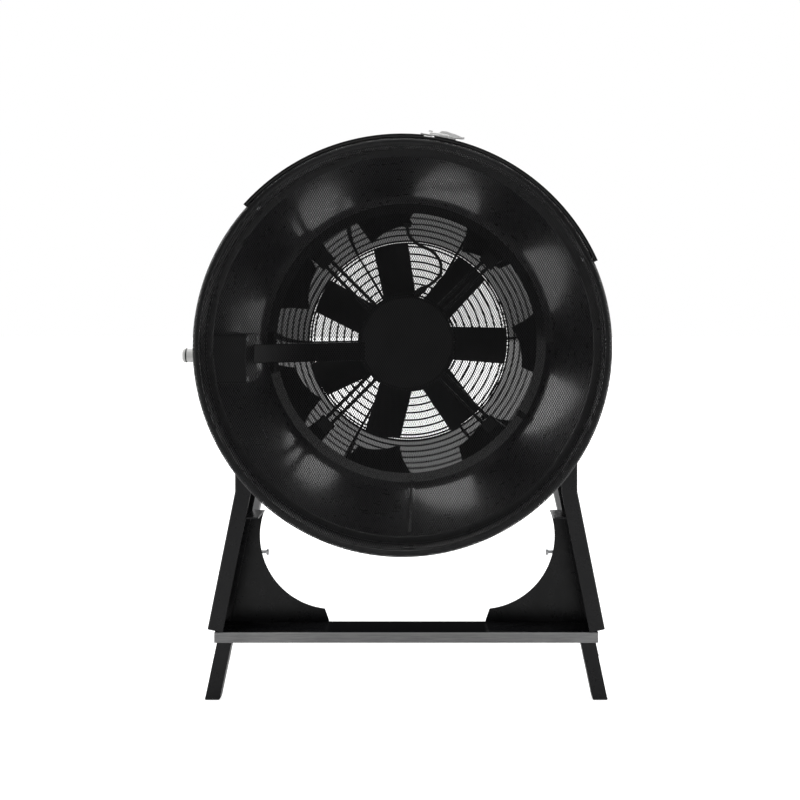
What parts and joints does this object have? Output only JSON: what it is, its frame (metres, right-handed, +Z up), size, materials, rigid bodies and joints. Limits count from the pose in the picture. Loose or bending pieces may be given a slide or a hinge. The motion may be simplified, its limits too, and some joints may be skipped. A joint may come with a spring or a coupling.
{
  "type": "axial air mover",
  "caption": "Flared-drum axial fan with a net over its mouth and a wire guard behind, tilting between the posts of a sheet-steel floor stand.",
  "frame": {"origin": "on the floor, at the centre of the footprint's bounding box", "axes": "+Z up, +X to the right of someone facing the netted mouth, -Y the way the mouth faces; the fan axis is parallel to Y, 0.585 m up"},
  "size_m": [0.7, 0.5244, 0.9009],
  "materials": {
    "black_paint": "semi-gloss black powder coat",
    "grey_paint": "satin grey powder coat",
    "black_net": "fine black knitted polyester net",
    "black_rubber": "matt black",
    "zinc_steel": "bright zinc plated",
    "polished_steel": "bright plated",
    "black_plastic": "fine-grained moulded black",
    "pale_plastic": "pale grey nylon",
    "motor_casting": "cast, coated black",
    "blade_coat": "coated black",
    "bare_steel": "machined"
  },
  "bodies": {
    "stand": {"tray": "black_paint", "left_post": "black_paint", "right_post": "black_paint", "gussets": "black_paint", "front_legs": "black_paint", "rear_legs": "grey_paint", "foot_plugs": "black_plastic", "leg_fasteners": "zinc_steel", "cord_studs": "zinc_steel", "pivot_washers": "black_plastic"},
    "drum": {"front_cone": "black_paint", "rear_duct": "black_paint", "strap_left": "black_paint", "strap_right": "black_paint", "feed_arm": "black_paint", "motor_clamp": "black_paint", "motor_arms": "black_paint", "rear_guard": "black_paint", "guard_clips": "black_paint", "pivot_brackets": "black_paint", "earth_clip": "black_paint", "front_net": "black_net", "net_skirt": "black_net", "hem_cord": "black_rubber", "motor_lead": "black_rubber", "lead_grommets": "black_rubber", "joint_fasteners": "zinc_steel", "strap_rivets": "zinc_steel", "cover_screws": "zinc_steel", "pivot_studs": "zinc_steel", "run_capacitor": "zinc_steel", "latch_base": "polished_steel", "latch_catch": "polished_steel", "latch_pin": "polished_steel", "junction_box": "black_plastic", "junction_lid": "black_plastic", "capacitor_box": "black_plastic", "capacitor_lid": "black_plastic", "cable_gland": "pale_plastic", "terminal_block": "pale_plastic", "motor_housing": "motor_casting", "motor_front_cap": "motor_casting", "motor_rear_cap": "motor_casting", "motor_bearings": "bare_steel", "stator": "bare_steel"},
    "impeller": {"rotor_core": "bare_steel", "motor_shaft": "bare_steel", "impeller_hub": "motor_casting", "hub_nut": "zinc_steel", "blade_1": "blade_coat", "blade_2": "blade_coat", "blade_3": "blade_coat", "blade_4": "blade_coat", "blade_5": "blade_coat", "blade_6": "blade_coat", "blade_7": "blade_coat"},
    "left_knob": {"left_clamp_knob": "black_plastic"},
    "right_knob": {"right_clamp_knob": "black_plastic"},
    "latch_handle": {"latch_lever": "polished_steel"},
    "latch_loop": {"latch_link": "polished_steel"}
  },
  "joints": [
    {"name": "drum_tilt", "type": "hinge", "parent": "stand", "child": "drum", "pos_m": [0, 0, 0.585], "axis": [-1, 0, 0], "range_deg": [-30, 60]},
    {"name": "impeller_spin", "type": "hinge", "parent": "drum", "child": "impeller", "pos_m": [0, 0.122, 0.585], "axis": [0, 1, 0], "continuous": true},
    {"name": "left_knob_turn", "type": "hinge", "parent": "drum", "child": "left_knob", "pos_m": [-0.295, 0, 0.585], "axis": [-1, 0, 0], "continuous": true},
    {"name": "right_knob_turn", "type": "hinge", "parent": "drum", "child": "right_knob", "pos_m": [0.295, 0, 0.585], "axis": [1, 0, 0], "continuous": true},
    {"name": "latch_open", "type": "hinge", "parent": "drum", "child": "latch_handle", "pos_m": [0.05781, -0.249, 0.89558], "axis": [0, -1, 0], "range_deg": [0, 85]},
    {"name": "latch_loop_swing", "type": "hinge", "parent": "latch_handle", "child": "latch_loop", "pos_m": [0.06634, -0.249, 0.89215], "axis": [0, -1, 0], "range_deg": [-60, 0]}
  ],
  "couplings": [
    {"joint": "latch_loop_swing", "follows": "latch_open", "ratio": -0.7}
  ]
}
